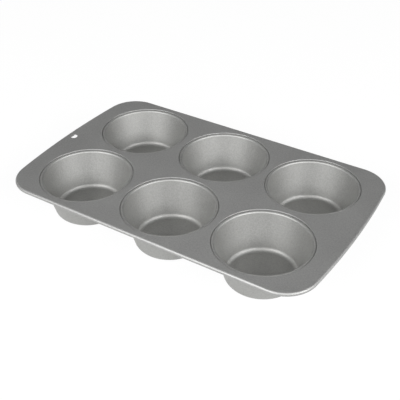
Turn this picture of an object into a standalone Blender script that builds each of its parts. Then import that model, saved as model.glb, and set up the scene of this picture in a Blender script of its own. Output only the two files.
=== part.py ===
"""Six-cup muffin pan in sheet steel, jumbo size.

The deck is one sheet, rolled at its edge round a closed wire. Each cup is drawn from a sheet of its own,
and the skirt at the edge of its lip is clinched over a collar, which stands in a trough round each opening
of the deck.

Metres, +Z up, +X along the longer side. The pan stands on its six cup floors at z = 0, and the origin is
under the middle of the deck. Every section below is drawn on the face that shows from above, and the sheet
gets its thickness behind that face.
"""

import math

import bmesh
import bpy
from mathutils import Vector

# Sheet, wire and the clearance that neighbouring pieces keep
DECK_GAUGE = 0.0006
CUP_GAUGE = 0.0006
WIRE_RADIUS = 0.0013
CLEARANCE = 0.0003

# Cup, on its inner face
CUP_DEPTH = 0.0410  # from the top of the deck to the cup's floor
MOUTH_RADIUS = 0.0455  # where the slanted wall would meet the lip
FLOOR_RADIUS = 0.0357  # where the wall would meet the floor
FLOOR_ROUND = 0.0068
LIP_ROUND = 0.0022

# Clinched seam round a mouth
LIP_DROP = 0.0004  # how far the lip lies below the deck at the mouth
LIP_FALL = 0.0004  # how much further it falls on its way to its edge
LIP_REACH = 0.0034  # from the mouth out to the edge of the lip
SKIRT_DEPTH = 0.0020  # height of the skirt that is turned down from the lip's edge
CLINCH_LEAN = math.radians(20)  # skirt and collar lean alike, so that they hold each other
SEAM_BEND = 0.0001  # inner radius of the bend from the deck into the trough

# Flat land left on the deck
LAND_BETWEEN_COLUMNS = 0.0048
LAND_BETWEEN_ROWS = 0.0040
LAND_AT_ENDS = 0.0183
LAND_AT_SIDES = 0.0040
CORNER_RADIUS = 0.0334
END_RADIUS = 0.8200  # of the two short sides, which bow outwards

# Rolled edge and hang hole
ROLL_SWEEP = math.radians(230)
HANG_HOLE_RADIUS = 0.0040
HANG_HOLE_LAND = 0.0028  # from the start of the rolled edge to the hole

# Facets
CUP_SEGMENTS = 32
CORNER_SEGMENTS = 8
END_SEGMENTS = 6  # an even number, as the two halves of an end are alike
ROLL_SEGMENTS = 8
HOLE_SEGMENTS = 16
WIRE_SEGMENTS = 8

COLUMN_NAMES = ("left", "middle", "right")
ROW_NAMES = ("front", "back")

# Levels and radii that follow from the sizes above
DECK_TOP = CUP_DEPTH + CUP_GAUGE
LIP_TOP = DECK_TOP - LIP_DROP
LIP_EDGE = LIP_TOP - LIP_FALL
SEAM_RADIUS = MOUTH_RADIUS + LIP_REACH
TROUGH_RADIUS = SEAM_RADIUS + CLEARANCE
OPENING_RADIUS = TROUGH_RADIUS + SEAM_BEND + DECK_GAUGE
PITCH_X = 2 * OPENING_RADIUS + LAND_BETWEEN_COLUMNS
PITCH_Y = 2 * OPENING_RADIUS + LAND_BETWEEN_ROWS
ROLL_RADIUS = WIRE_RADIUS + CLEARANCE + DECK_GAUGE
ROLL_LEVEL = DECK_TOP - ROLL_RADIUS
FLAT_X = (len(COLUMN_NAMES) - 1) / 2 * PITCH_X + OPENING_RADIUS + LAND_AT_ENDS
FLAT_Y = (len(ROW_NAMES) - 1) / 2 * PITCH_Y + OPENING_RADIUS + LAND_AT_SIDES
FLAT_CORNER = CORNER_RADIUS - ROLL_RADIUS
FLAT_END = END_RADIUS - ROLL_RADIUS
CORNER_Y = FLAT_Y - FLAT_CORNER
END_ANGLE = math.asin(CORNER_Y / (FLAT_END - FLAT_CORNER))  # from the middle of a short side to its corner
CORNER_X = FLAT_X - FLAT_END + (FLAT_END - FLAT_CORNER) * math.cos(END_ANGLE)


def rounded_path(corners):
    """Points (radius, height) through corners (radius, height, round, steps); each round is an arc."""
    path = [Vector(corners[0][:2])]
    for before, (x, z, bend, steps), after in zip(corners, corners[1:], corners[2:]):
        corner = Vector((x, z))
        if not steps:
            path.append(corner)
            continue
        back = (Vector(before[:2]) - corner).normalized()
        ahead = (Vector(after[:2]) - corner).normalized()
        half_open = back.angle(ahead) / 2
        centre = corner + (back + ahead).normalized() * bend / math.sin(half_open)
        spoke = corner + back * bend / math.tan(half_open) - centre
        side = -1 if back.x * ahead.y > back.y * ahead.x else 1
        turn = side * (math.pi - 2 * half_open)
        for step in range(steps + 1):
            angle = turn * step / steps
            path.append(centre + Vector((spoke.x * math.cos(angle) - spoke.y * math.sin(angle),
                                         spoke.x * math.sin(angle) + spoke.y * math.cos(angle))))
    path.append(Vector(corners[-1][:2]))
    return path


def lip_height(radius):
    """Height of the lip's upper face, which slopes down from the mouth to the lip's edge."""
    return LIP_TOP - LIP_FALL * (radius - MOUTH_RADIUS) / LIP_REACH


def skirt_radius(height):
    """Radius of the skirt's outer face, which draws in as it goes down."""
    return SEAM_RADIUS - (LIP_EDGE - height) * math.tan(CLINCH_LEAN)


def collar_radius(height):
    """Radius of the collar's outer face, which stands inside the skirt and leans with it."""
    return skirt_radius(height) - (CUP_GAUGE + CLEARANCE) / math.cos(CLINCH_LEAN)


def cup_section():
    """Face of a cup: middle of the floor, wall, lip and skirt."""
    skirt_end = LIP_EDGE - SKIRT_DEPTH
    return rounded_path([
        (0, CUP_GAUGE, 0, 0),
        (FLOOR_RADIUS, CUP_GAUGE, FLOOR_ROUND, 4),
        (MOUTH_RADIUS, LIP_TOP, LIP_ROUND, 3),
        (SEAM_RADIUS, LIP_EDGE, 0, 0),
        (skirt_radius(skirt_end), skirt_end, 0, 0),
    ])


def seam_section():
    """Face of the deck from the edge of its flat down into the trough and up the collar."""
    floor = LIP_EDGE - SKIRT_DEPTH - CLEARANCE
    under_lip = lip_height(collar_radius(LIP_EDGE)) - CUP_GAUGE - CLEARANCE
    collar_top = under_lip - DECK_GAUGE * math.sin(CLINCH_LEAN)
    return rounded_path([
        (OPENING_RADIUS + LAND_AT_SIDES, DECK_TOP, 0, 0),
        (TROUGH_RADIUS, DECK_TOP, SEAM_BEND + DECK_GAUGE, 2),
        (TROUGH_RADIUS, floor, 0, 0),
        (collar_radius(floor), floor, 0, 0),
        (collar_radius(collar_top), collar_top, 0, 0),
    ])[1:]


def roll_section():
    """Face of the rolled edge, as (distance beyond the flat's outline, height)."""
    angles = [math.pi / 2 - ROLL_SWEEP * step / ROLL_SEGMENTS for step in range(ROLL_SEGMENTS + 1)]
    return [Vector((ROLL_RADIUS * math.cos(angle), ROLL_LEVEL + ROLL_RADIUS * math.sin(angle)))
            for angle in angles]


def edge_arc(point):
    """Centre and radius of the arc of the flat's outline beside a point: a corner, or an end's bow."""
    if math.atan2(abs(point.y) - CORNER_Y, abs(point.x) - CORNER_X) < END_ANGLE:
        return Vector((math.copysign(FLAT_END - FLAT_X, -point.x), 0)), FLAT_END
    return Vector((math.copysign(CORNER_X, point.x), math.copysign(CORNER_Y, point.y))), FLAT_CORNER


def edge_outline():
    """Outline where the deck's flat ends and its rolled edge starts."""
    half_end = END_SEGMENTS // 2
    end_centre = Vector((FLAT_X - FLAT_END, 0))
    corner_centre = Vector((CORNER_X, CORNER_Y))
    quarter = []
    for step in range(half_end):
        angle = END_ANGLE * step / half_end
        quarter.append(end_centre + FLAT_END * Vector((math.cos(angle), math.sin(angle))))
    for step in range(CORNER_SEGMENTS + 1):
        angle = END_ANGLE + (math.pi / 2 - END_ANGLE) * step / CORNER_SEGMENTS
        quarter.append(corner_centre + FLAT_CORNER * Vector((math.cos(angle), math.sin(angle))))
    half = quarter + [Vector((-point.x, point.y)) for point in reversed(quarter[1:])]
    return half + [-point for point in half]


def circle_outline(centre, radius, segments):
    angles = [2 * math.pi * step / segments for step in range(segments)]
    return [centre + radius * Vector((math.cos(angle), math.sin(angle))) for angle in angles]


def cup_places():
    """Name and centre of each cup, front row first."""
    for row, row_name in enumerate(ROW_NAMES):
        for column, column_name in enumerate(COLUMN_NAMES):
            yield f"cup_{row_name}_{column_name}", Vector((
                (column - (len(COLUMN_NAMES) - 1) / 2) * PITCH_X,
                (row - (len(ROW_NAMES) - 1) / 2) * PITCH_Y,
            ))


def add_loop(bm, outline):
    """Closed loop of edges on the top of the deck."""
    verts = [bm.verts.new((point.x, point.y, DECK_TOP)) for point in outline]
    return [bm.edges.new(pair) for pair in zip(verts, verts[1:] + verts[:1])]


def fold_edge(bm, edges, section, arc_of):
    """Extrudes a loop of edges along a section, each vertex square to the arc that it lies beside."""
    for reach, height in section:
        grown = bmesh.ops.extrude_edge_only(bm, edges=edges)["geom"]
        edges = [item for item in grown if isinstance(item, bmesh.types.BMEdge) and item.is_boundary]
        for vert in [item for item in grown if isinstance(item, bmesh.types.BMVert)]:
            centre, radius = arc_of(vert.co)
            place = centre + (vert.co.xy - centre).normalized() * (radius + reach)
            vert.co = (place.x, place.y, height)


def give_thickness(obj, gauge):
    """Solidifies a sheet behind its face."""
    solidify = obj.modifiers.new("Gauge", "SOLIDIFY")
    solidify.thickness = gauge
    solidify.offset = -1
    solidify.use_even_offset = True


def coated_material(name, colour, roughness, metallic):
    material = bpy.data.materials.new(name)
    material.use_nodes = True
    shader = material.node_tree.nodes["Principled BSDF"]
    shader.inputs["Base Color"].default_value = (*colour, 1)
    shader.inputs["Roughness"].default_value = roughness
    shader.inputs["Metallic"].default_value = metallic
    return material


def add_part(name, data, material):
    obj = bpy.data.objects.new(name, data)
    if not data.materials:
        data.materials.append(material)
    bpy.data.collections["muffin_pan"].objects.link(obj)
    return obj


def make_deck(material):
    """Deck sheet: flat with openings and hang hole, rolled edge, and a seam round each opening."""
    bm = bmesh.new()
    outer = add_loop(bm, edge_outline())
    seams = [(centre, add_loop(bm, circle_outline(centre, OPENING_RADIUS, CUP_SEGMENTS)))
             for _, centre in cup_places()]
    hang_hole = Vector((HANG_HOLE_LAND + HANG_HOLE_RADIUS - FLAT_X, 0))
    add_loop(bm, circle_outline(hang_hole, HANG_HOLE_RADIUS, HOLE_SEGMENTS))
    bmesh.ops.triangle_fill(bm, use_beauty=True, edges=bm.edges[:], normal=(0, 0, 1))
    fold_edge(bm, outer, roll_section()[1:], edge_arc)
    for centre, edges in seams:
        fold_edge(bm, edges, seam_section()[1:], lambda _, centre=centre: (centre, 0))
    bmesh.ops.recalc_face_normals(bm, faces=bm.faces[:])
    if max(bm.faces, key=lambda face: face.calc_area()).normal.z < 0:
        bmesh.ops.reverse_faces(bm, faces=bm.faces[:])
    mesh = bpy.data.meshes.new("deck_sheet")
    bm.to_mesh(mesh)
    bm.free()
    mesh.shade_smooth()
    mesh.set_sharp_from_angle(angle=math.radians(40))
    give_thickness(add_part("deck_sheet", mesh, material), DECK_GAUGE)


def make_rim_wire(material):
    """Closed wire inside the rolled edge."""
    curve = bpy.data.curves.new("rim_wire", "CURVE")
    curve.dimensions = "3D"
    curve.bevel_depth = WIRE_RADIUS
    curve.bevel_resolution = WIRE_SEGMENTS // 2 - 2
    outline = edge_outline()
    spline = curve.splines.new("POLY")
    spline.points.add(len(outline) - 1)
    for point, place in zip(spline.points, outline):
        point.co = (place.x, place.y, ROLL_LEVEL, 1)
    spline.use_cyclic_u = True
    add_part("rim_wire", curve, material)


def make_cups(material):
    """Six equal cups that share one section, turned and given the sheet's thickness."""
    section = cup_section()
    mesh = bpy.data.meshes.new("cup")
    mesh.from_pydata([(point.x, 0, point.y) for point in section],
                     [(step, step + 1) for step in range(len(section) - 1)], [])
    for name, centre in cup_places():
        cup = add_part(name, mesh, material)
        cup.location = (centre.x, centre.y, 0)
        turn = cup.modifiers.new("Turn", "SCREW")
        turn.steps = turn.render_steps = CUP_SEGMENTS
        turn.use_merge_vertices = True
        turn.merge_threshold = 0.00001
        turn.use_smooth_shade = True
        give_thickness(cup, CUP_GAUGE)


def main():
    for obj in list(bpy.data.objects):
        bpy.data.objects.remove(obj, do_unlink=True)
    bpy.context.scene.collection.children.link(bpy.data.collections.new("muffin_pan"))
    make_deck(coated_material("deck_coating", (0.20, 0.20, 0.20), 0.38, 0.8))
    make_rim_wire(coated_material("wire_steel", (0.42, 0.42, 0.41), 0.35, 1.0))
    make_cups(coated_material("cup_coating", (0.21, 0.21, 0.205), 0.34, 0.8))


main()
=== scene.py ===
"""Looks of the six-cup muffin pan: coated sheet steel on a pale floor under soft studio light.

Every sheet piece is drawn on the face that shows from above and gets its thickness behind that face. All sizes
are in metres, in the frame of the CAD model.
"""

import math

import bmesh
import bpy
from mathutils import Matrix, Vector


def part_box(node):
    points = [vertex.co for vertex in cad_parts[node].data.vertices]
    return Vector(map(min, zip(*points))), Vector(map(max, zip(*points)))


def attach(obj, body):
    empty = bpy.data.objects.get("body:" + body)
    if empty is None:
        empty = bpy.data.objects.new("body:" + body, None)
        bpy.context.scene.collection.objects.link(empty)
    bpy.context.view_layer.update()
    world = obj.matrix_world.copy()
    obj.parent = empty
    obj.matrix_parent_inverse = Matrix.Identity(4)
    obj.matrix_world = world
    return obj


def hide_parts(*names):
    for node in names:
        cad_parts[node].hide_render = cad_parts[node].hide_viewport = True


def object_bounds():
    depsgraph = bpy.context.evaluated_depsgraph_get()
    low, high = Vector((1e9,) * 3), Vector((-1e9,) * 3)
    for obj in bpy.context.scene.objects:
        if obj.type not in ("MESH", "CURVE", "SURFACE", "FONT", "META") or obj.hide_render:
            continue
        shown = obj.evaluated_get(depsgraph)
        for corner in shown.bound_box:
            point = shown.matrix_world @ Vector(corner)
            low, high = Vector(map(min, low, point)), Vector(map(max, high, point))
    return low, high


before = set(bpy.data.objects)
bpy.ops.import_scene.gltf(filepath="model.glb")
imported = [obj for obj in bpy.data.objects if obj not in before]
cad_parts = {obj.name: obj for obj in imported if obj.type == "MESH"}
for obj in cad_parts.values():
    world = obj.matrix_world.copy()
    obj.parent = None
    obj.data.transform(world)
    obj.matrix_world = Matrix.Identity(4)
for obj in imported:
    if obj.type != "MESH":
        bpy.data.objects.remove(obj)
CAD_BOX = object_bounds()
MM = 0.001

# Sizes of the CAD model
SHEET = 0.6 * MM
DECK_LEVEL = CAD_BOX[1].z
HALF_LENGTH = CAD_BOX[1].x
HALF_WIDTH = CAD_BOX[1].y
CORNER_RADIUS = 33.4 * MM
END_RADIUS = 820.0 * MM
ROLL_RADIUS = 2.2 * MM
ROLL_SWEEP = math.radians(230)
HANG_HOLE_X = -166.0 * MM
HANG_HOLE_RADIUS = 4.0 * MM

# Angle from the middle of a bowed end to where its corner starts
END_ANGLE = math.asin((HALF_WIDTH - CORNER_RADIUS) / (END_RADIUS - CORNER_RADIUS))

# Cup, seam and wire as the photograph shows them, close to the CAD model's. A pair is (radius, height over the deck)
FLOOR_RADIUS = 35.3 * MM
FLOOR_ROUND = 5.2 * MM
MOUTH = (45.5 * MM, -0.4 * MM)
LIP_ROUND = 2.0 * MM
LIP_EDGE = (48.5 * MM, -0.72 * MM)
SKIRT_END = (47.82 * MM, -2.8 * MM)
TROUGH_RADIUS = 48.6 * MM
TROUGH_ROUND = 0.35 * MM
COLLAR_FOOT = (46.5 * MM, -3.1 * MM)
COLLAR_END = (46.98 * MM, -1.79 * MM)
SHEET_BEND = 0.62 * MM
WIRE_RADIUS = 1.5 * MM

# Fineness of the meshes: edges to each side of a round that hold its shape, strips of flat, and steps in an arc
SUPPORT = 0.20 * MM
SUPPORT_LIMIT = 0.9
FLAT_STRIP = 0.15 * MM
WELD = 1e-6
CIRCLE_STEPS = 128
FLOOR_STEPS = 12
LIP_STEPS = 10
BEND_STEPS = 6
TROUGH_STEPS = 4
END_STEPS = 12
CORNER_STEPS = 32
ROLL_STEPS = 22
HOLE_STEPS = 64
WIRE_STEPS = 24
SHARP_ANGLE = math.radians(35)

# Coatings
DECK_COLOUR = (0.34, 0.34, 0.335)
CUP_COLOUR = (0.34, 0.34, 0.331)
STREAK_FADE = 2.0 * MM

# Camera of the photograph: a pinhole that stands 748.2 pixels in front of a picture 400 pixels wide
CAMERA_AZIMUTH = math.radians(33.19)
CAMERA_ELEVATION = math.radians(36.22)
CAMERA_ROLL = math.radians(-1.03)
CAMERA_PLACE = (347.6 * MM, -528.4 * MM, 479.1 * MM)
SENSOR_WIDTH = 36
CAMERA_LENS = SENSOR_WIDTH * 748.2 / 400

# Lamps: direction as azimuth and elevation in degrees, width, height and power
LAMPS = {
    "lamp_front": (-9, 31, 1.3, 0.65, 41.5),
    "lamp_right": (78, 31, 1.7, 0.8, 46),
    "lamp_back": (210, 50, 0.8, 0.8, 2.7),
    "lamp_left": (270, 30, 0.8, 0.8, 3.3),
}
LAMP_DISTANCE = 1.8

# Strength of the even light, share of plain white in the floor, and the floor's size and its gap under the cups
FILL = 0.025
FLOOR_WHITE = 0.94
GROUND_RADIUS = 6.0
GROUND_GAP = 0.1 * MM


def chain_of(corners):
    """Edges in the XZ plane through (x, z, round, steps), each corner that has steps rounded to an arc."""
    bm = bmesh.new()
    points = [Vector((x, 0, z)) for x, z, _, _ in corners]
    verts, rounds = [bm.verts.new(points[0])], []
    for before, point, after, (_, _, bend, steps) in zip(points, points[1:], points[2:], corners[1:]):
        back, ahead = (before - point).normalized(), (after - point).normalized()
        reach = bend / math.tan(back.angle(ahead) / 2) if steps else 0
        held = [point + way * min(reach + SUPPORT, length * SUPPORT_LIMIT)
                for way, length in ((back, (before - point).length), (ahead, (after - point).length))]
        if steps:
            verts.append(bm.verts.new(held[0]))
        verts.append(bm.verts.new(point))
        if steps:
            rounds.append((verts[-1], reach, steps))
            verts.append(bm.verts.new(held[1]))
    verts.append(bm.verts.new(points[-1]))
    for pair in zip(verts, verts[1:]):
        bm.edges.new(pair)
    for vert, reach, steps in rounds:
        bmesh.ops.bevel(bm, geom=[vert], offset=reach, offset_type="OFFSET", segments=steps, profile=0.5,
                        affect="VERTICES", material=-1)
    return bm


def by_deck(place, bend=0, steps=0):
    """Corner of a section whose height is given over the deck."""
    return place[0], DECK_LEVEL + place[1], bend, steps


def turned(bm, centre):
    """Turns a section right round the Z axis and moves it to a cup's middle."""
    bmesh.ops.spin(bm, geom=bm.verts[:] + bm.edges[:], cent=(0, 0, 0), axis=(0, 0, 1), angle=2 * math.pi,
                   steps=CIRCLE_STEPS, use_merge=True)
    bmesh.ops.remove_doubles(bm, verts=bm.verts[:], dist=WELD)
    bmesh.ops.translate(bm, vec=centre, verts=bm.verts[:])
    return bm


def face_up(bm):
    """Points the shown face of an open sheet upwards."""
    bmesh.ops.recalc_face_normals(bm, faces=bm.faces[:])
    flattest = max(bm.faces, key=lambda face: face.calc_area() * abs(face.normal.z))
    if flattest.normal.z < 0:
        bmesh.ops.reverse_faces(bm, faces=bm.faces[:])


def add_object(name, bm):
    """Object from a bmesh, in the scene."""
    mesh = bpy.data.meshes.new(name)
    bm.to_mesh(mesh)
    bm.free()
    made = bpy.data.objects.new(name, mesh)
    bpy.context.scene.collection.objects.link(made)
    return made


def add_piece(name, bm, finish, node, gauge=0):
    """Piece of the pan, with the sheet's thickness where it has one, riding on the one body."""
    piece = add_object(name, bm)
    if gauge:
        solidify = piece.modifiers.new("Gauge", "SOLIDIFY")
        solidify.thickness = gauge
        solidify.offset = -1
        solidify.use_even_offset = True
        graph = bpy.context.evaluated_depsgraph_get()
        piece.data = bpy.data.meshes.new_from_object(piece.evaluated_get(graph))
        piece.modifiers.clear()
        piece.data.name = name
    piece.data.shade_smooth()
    piece.data.set_sharp_from_angle(angle=SHARP_ANGLE)
    piece.data.materials.append(finish.material)
    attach(piece, "root")
    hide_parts(node)


def cup_place(node):
    """Middle of a cup's box, on the ground."""
    low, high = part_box(node)
    return Vector(((low.x + high.x) / 2, (low.y + high.y) / 2, 0))


def add_cup(node, finish):
    """Drawn cup: flat floor, slanted wall, rounded mouth, lip that slopes to the seam and turned-down skirt."""
    bm = turned(chain_of([
        (0, SHEET, 0, 0),
        (FLOOR_RADIUS, SHEET, FLOOR_ROUND, FLOOR_STEPS),
        by_deck(MOUTH, LIP_ROUND, LIP_STEPS),
        by_deck(LIP_EDGE, SHEET_BEND, BEND_STEPS),
        by_deck(SKIRT_END),
    ]), cup_place(node))
    face_up(bm)
    add_piece("drawn_" + node, bm, finish, node, SHEET)


def seam_ring(centre):
    """Deck round one cup: a strip of the flat, the bend, the trough and the collar in it."""
    return turned(chain_of([
        (TROUGH_RADIUS + SHEET_BEND + FLAT_STRIP, DECK_LEVEL, 0, 0),
        (TROUGH_RADIUS, DECK_LEVEL, SHEET_BEND, BEND_STEPS),
        by_deck((TROUGH_RADIUS, COLLAR_FOOT[1]), TROUGH_ROUND, TROUGH_STEPS),
        by_deck(COLLAR_FOOT, TROUGH_ROUND, TROUGH_STEPS),
        by_deck(COLLAR_END),
    ]), centre)


def follow_edge(bm):
    """Carries a section that stands at the middle of the right end round the pan's whole edge."""
    end = Vector((HALF_LENGTH - END_RADIUS, 0, 0))
    corner = end + Vector(((END_RADIUS - CORNER_RADIUS) * math.cos(END_ANGLE), HALF_WIDTH - CORNER_RADIUS, 0))
    section = bm.verts[:] + bm.edges[:]
    for centre, angle, steps in ((end, END_ANGLE, END_STEPS), (corner, math.pi / 2 - END_ANGLE, CORNER_STEPS)):
        section = bmesh.ops.spin(bm, geom=section, cent=centre, axis=(0, 0, 1), angle=angle,
                                 steps=steps)["geom_last"]
    side = [item for item in section if isinstance(item, bmesh.types.BMEdge)]
    grown = bmesh.ops.extrude_edge_only(bm, edges=side)["geom"]
    bmesh.ops.translate(bm, vec=(-corner.x, 0, 0), verts=[v for v in grown if isinstance(v, bmesh.types.BMVert)])
    for axis in "XY":
        bmesh.ops.mirror(bm, geom=bm.verts[:] + bm.edges[:] + bm.faces[:], axis=axis, merge_dist=WELD)


def rolled_edge():
    """Rolled edge round the whole deck, with a strip of the flat along its start."""
    bm = bmesh.new()
    start = HALF_LENGTH - ROLL_RADIUS
    strip, bend = (bm.verts.new((x, 0, DECK_LEVEL)) for x in (start - FLAT_STRIP, start))
    bm.edges.new((strip, bend))
    bmesh.ops.spin(bm, geom=[bend], cent=(start, 0, DECK_LEVEL - ROLL_RADIUS), axis=(0, 1, 0), angle=ROLL_SWEEP,
                   steps=ROLL_STEPS)
    follow_edge(bm)
    return bm


def add_deck(finish, cups):
    """Deck sheet: rolled edge, six seams and a hang hole, and the flat that joins them."""
    bm = rolled_edge()
    for node in cups:
        ring = seam_ring(cup_place(node))
        mesh = bpy.data.meshes.new("ring")
        ring.to_mesh(mesh)
        ring.free()
        bm.from_mesh(mesh)
        bpy.data.meshes.remove(mesh)
    bmesh.ops.create_circle(bm, segments=HOLE_STEPS, radius=HANG_HOLE_RADIUS,
                            matrix=Matrix.Translation((HANG_HOLE_X, 0, DECK_LEVEL)))
    bmesh.ops.remove_doubles(bm, verts=bm.verts[:], dist=WELD)
    border = [edge for edge in bm.edges if len(edge.link_faces) < 2
              and all(abs(vert.co.z - DECK_LEVEL) < WELD for vert in edge.verts)]
    bmesh.ops.triangle_fill(bm, use_beauty=True, edges=border, normal=(0, 0, 1))
    face_up(bm)
    add_piece("pressed_deck", bm, finish, "deck_sheet", SHEET)


def add_wire(finish):
    """Closed wire that the edge is rolled round."""
    bm = bmesh.new()
    centre = Matrix.Translation((HALF_LENGTH - ROLL_RADIUS, 0, DECK_LEVEL - ROLL_RADIUS))
    bmesh.ops.create_circle(bm, segments=WIRE_STEPS, radius=WIRE_RADIUS,
                            matrix=centre @ Matrix.Rotation(math.pi / 2, 4, "X"))
    follow_edge(bm)
    bmesh.ops.recalc_face_normals(bm, faces=bm.faces[:])
    add_piece("edge_wire", bm, finish, "rim_wire")


class Value:
    """Number that changes over a surface. Arithmetic on it adds Math nodes."""

    def __init__(self, finish, socket):
        self.finish, self.socket = finish, socket

    def join(self, operation, *values, clamp=False):
        made = self.finish.node("ShaderNodeMath", {"operation": operation, "use_clamp": clamp},
                                dict(enumerate((self, *values))))
        return Value(self.finish, made.outputs[0])

    def __add__(self, other):
        return self.join("ADD", other)

    def __sub__(self, other):
        return self.join("SUBTRACT", other)

    def __mul__(self, other):
        return self.join("MULTIPLY", other)

    def __truediv__(self, other):
        return self.join("DIVIDE", other)

    def __abs__(self):
        return self.join("ABSOLUTE")

    def clamped(self):
        return self.join("ADD", 0, clamp=True)

    def folded(self, pitch):
        """Distance from the nearest multiple of a pitch."""
        return self.join("WRAP", pitch / 2, -pitch / 2)


class Finish:
    """Material whose nodes one method adds."""

    def __init__(self, name, **constants):
        self.material = bpy.data.materials.new(name)
        self.material.use_nodes = True
        self.tree = self.material.node_tree
        self.shader = self.tree.nodes["Principled BSDF"]
        for socket, value in constants.items():
            self.shader.inputs[socket.replace("_", " ").title()].default_value = value
        self.place = self.node("ShaderNodeTexCoord").outputs["Object"]

    def node(self, kind, settings=None, sockets=None):
        made = self.tree.nodes.new(kind)
        for name, value in (settings or {}).items():
            setattr(made, name, value)
        for name, value in (sockets or {}).items():
            self.feed(made.inputs[name], value)
        return made

    def feed(self, socket, value):
        value = value.socket if isinstance(value, Value) else value
        if isinstance(value, bpy.types.NodeSocket):
            self.tree.links.new(value, socket)
        else:
            socket.default_value = value

    def shade(self, name, value):
        """Feeds one of the shader's sockets."""
        self.feed(self.shader.inputs[name], value)

    def shaded(self, name):
        """What feeds one of the shader's sockets so far."""
        return Value(self, self.shader.inputs[name].links[0].from_socket)

    def vector(self, operation, *vectors, **numbers):
        """Result of a Vector Math node: a vector, or a length as a Value."""
        made = self.node("ShaderNodeVectorMath", {"operation": operation}, {**dict(enumerate(vectors)), **numbers})
        return Value(self, made.outputs["Value"]) if operation == "LENGTH" else made.outputs["Vector"]

    def noise(self, scale, detail, roughness, vector=None):
        made = self.node("ShaderNodeTexNoise", {}, {"Vector": vector or self.place, "Scale": scale, "Detail": detail,
                                                    "Roughness": roughness})
        return Value(self, made.outputs["Fac"])

    def blend(self, factor, first, second):
        """Colour between two others."""
        made = self.node("ShaderNodeMix", {"data_type": "RGBA"},
                         {"Factor": factor, "A": (*first, 1), "B": (*second, 1)})
        return made.outputs["Result"]

    def paint(self, colour, pattern, spread):
        """Base colour that a pattern from 0 to 1 varies by a share of itself."""
        self.shade("Base Color", self.blend(pattern, *([part * (1 + side * spread) for part in colour]
                                                       for side in (-1, 1))))

    def tint(self, pattern):
        """Slight darkening and lightening of the base colour by a pattern round 0.5."""
        shade = self.blend(pattern, (0.93, 0.93, 0.93), (1.07, 1.07, 1.07))
        self.shade("Base Color", self.vector("MULTIPLY", self.shaded("Base Color").socket, shade))


def coating(name, colour):
    """Satin non-stick coating on sheet steel: a fine speckle, slight clouds and the faint orange peel of a spray."""
    finish = Finish(name, metallic=0.85)
    speckle = finish.noise(700, 3.0, 0.7)
    peel = finish.noise(1500, 1.0, 0.5)
    cloud = finish.noise(22, 2.0, 0.5)
    finish.paint(colour, speckle * 0.8 + cloud * 0.2, 0.4)
    finish.shade("Roughness", speckle * 0.06 + cloud * 0.05 + 0.525)
    finish.shade("Normal", finish.node("ShaderNodeBump", {}, {"Height": peel, "Distance": 0.03 * MM}).outputs[0])
    return finish


def drawn_coating(name, colour, pitch_x, pitch_y):
    """The coating on a drawn cup, with the faint scores that drawing leaves up the wall."""
    finish = coating(name, colour)
    x, y, _ = (Value(finish, output) for output in
               finish.node("ShaderNodeSeparateXYZ", {}, {"Vector": finish.place}).outputs)
    out = finish.node("ShaderNodeCombineXYZ", {}, {"X": x.folded(pitch_x), "Y": abs(y) - pitch_y / 2}).outputs[0]
    wall = ((finish.vector("LENGTH", out) - (FLOOR_RADIUS - FLOOR_ROUND)) / STREAK_FADE).clamped()
    way = finish.vector("NORMALIZE", out)
    along = finish.vector("MULTIPLY", finish.place, (30, 30, 12))
    broad, fine = (finish.noise(1.0, 2.0, 0.6, finish.vector("ADD", finish.vector("SCALE", way, Scale=width), along))
                   for width in (14, 70))
    streak = ((broad + fine) * 0.5 - 0.5) * wall
    finish.tint(streak * 1.2 + 0.5)
    finish.shade("Roughness", finish.shaded("Roughness") + streak * 0.10)
    finish.shade("Normal", finish.node("ShaderNodeBump", {}, {"Height": streak, "Distance": 0.02 * MM,
                                                              "Normal": finish.shaded("Normal")}).outputs[0])
    return finish


def wire_finish():
    """Bright drawn wire."""
    finish = Finish("wire_bright_steel", metallic=1.0)
    grain = finish.noise(900, 3.0, 0.6)
    finish.shade("Base Color", finish.blend(grain, (0.40, 0.40, 0.39), (0.55, 0.55, 0.54)))
    finish.shade("Roughness", grain * 0.1 + 0.25)
    return finish


def add_floor():
    """Pale floor that shows white to the camera and to the metal and keeps a soft shadow."""
    bm = bmesh.new()
    bmesh.ops.create_circle(bm, cap_ends=True, segments=96, radius=GROUND_RADIUS,
                            matrix=Matrix.Translation((0, 0, -GROUND_GAP)))
    floor = add_object("floor", bm)
    paper = Finish("floor_paper", base_color=(0.9, 0.9, 0.9, 1), roughness=0.9)
    path = paper.node("ShaderNodeLightPath").outputs
    white = Value(paper, path["Is Camera Ray"]).join("MAXIMUM", path["Is Glossy Ray"]) * FLOOR_WHITE
    glow = paper.node("ShaderNodeEmission")
    mix = paper.node("ShaderNodeMixShader", {}, {0: white, 1: paper.shader.outputs[0], 2: glow.outputs[0]})
    paper.feed(paper.tree.nodes["Material Output"].inputs["Surface"], mix.outputs[0])
    floor.data.materials.append(paper.material)


def direction(azimuth, elevation):
    """Way from the pan to something, with azimuth 0 in front and a quarter turn on the right."""
    return Vector((math.sin(azimuth) * math.cos(elevation), -math.cos(azimuth) * math.cos(elevation),
                   math.sin(elevation)))


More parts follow.
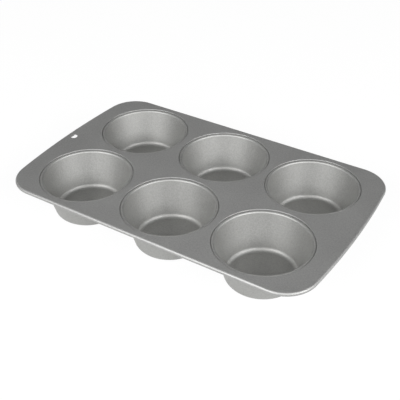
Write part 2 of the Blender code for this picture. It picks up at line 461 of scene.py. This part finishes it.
def add_lamp(name, azimuth, elevation, width, height, power):
    """Soft light that faces the pan."""
    place = LAMP_DISTANCE * direction(math.radians(azimuth), math.radians(elevation))
    light = bpy.data.lights.new(name, "AREA")
    light.shape = "RECTANGLE"
    light.size, light.size_y = width, height
    light.energy = power
    lamp = bpy.data.objects.new(name, light)
    bpy.context.scene.collection.objects.link(lamp)
    lamp.location = place
    lamp.rotation_euler = (-place).to_track_quat("-Z", "Y").to_euler()


def light_studio():
    """Even light from the world, white behind the pan, and soft lamps."""
    world = bpy.data.worlds.new("studio")
    bpy.context.scene.world = world
    world.use_nodes = True
    tree = world.node_tree
    background = tree.nodes["Background"]
    background.inputs["Color"].default_value = (1, 1, 1, 1)
    path = tree.nodes.new("ShaderNodeLightPath")
    level = tree.nodes.new("ShaderNodeMapRange")
    level.inputs["To Min"].default_value = FILL
    level.inputs["To Max"].default_value = 1.0
    tree.links.new(path.outputs["Is Camera Ray"], level.inputs["Value"])
    tree.links.new(level.outputs[0], background.inputs["Strength"])
    for name, settings in LAMPS.items():
        add_lamp(name, *settings)


def set_camera():
    """Camera at the photograph's angle."""
    back = direction(CAMERA_AZIMUTH, CAMERA_ELEVATION)
    side = Vector((0, 0, 1)).cross(back).normalized()
    up = back.cross(side)
    right = side * math.cos(CAMERA_ROLL) + up * math.sin(CAMERA_ROLL)
    over = up * math.cos(CAMERA_ROLL) - side * math.sin(CAMERA_ROLL)
    data = bpy.data.cameras.new("camera")
    data.sensor_width = SENSOR_WIDTH
    data.lens = CAMERA_LENS
    data.clip_start = 0.05
    camera = bpy.data.objects.new("camera", data)
    bpy.context.scene.collection.objects.link(camera)
    camera.matrix_world = Matrix.Translation(CAMERA_PLACE) @ Matrix((right, over, back)).transposed().to_4x4()
    bpy.context.scene.camera = camera


def main():
    bpy.context.scene.view_settings.view_transform = "Standard"
    cups = sorted(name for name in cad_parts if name.startswith("cup_"))
    corner = cup_place("cup_back_right")
    cup_finish = drawn_coating("cup_satin_coating", CUP_COLOUR, corner.x, 2 * corner.y)
    add_deck(coating("deck_satin_coating", DECK_COLOUR), cups)
    for node in cups:
        add_cup(node, cup_finish)
    add_wire(wire_finish())
    add_floor()
    light_studio()
    set_camera()


main()
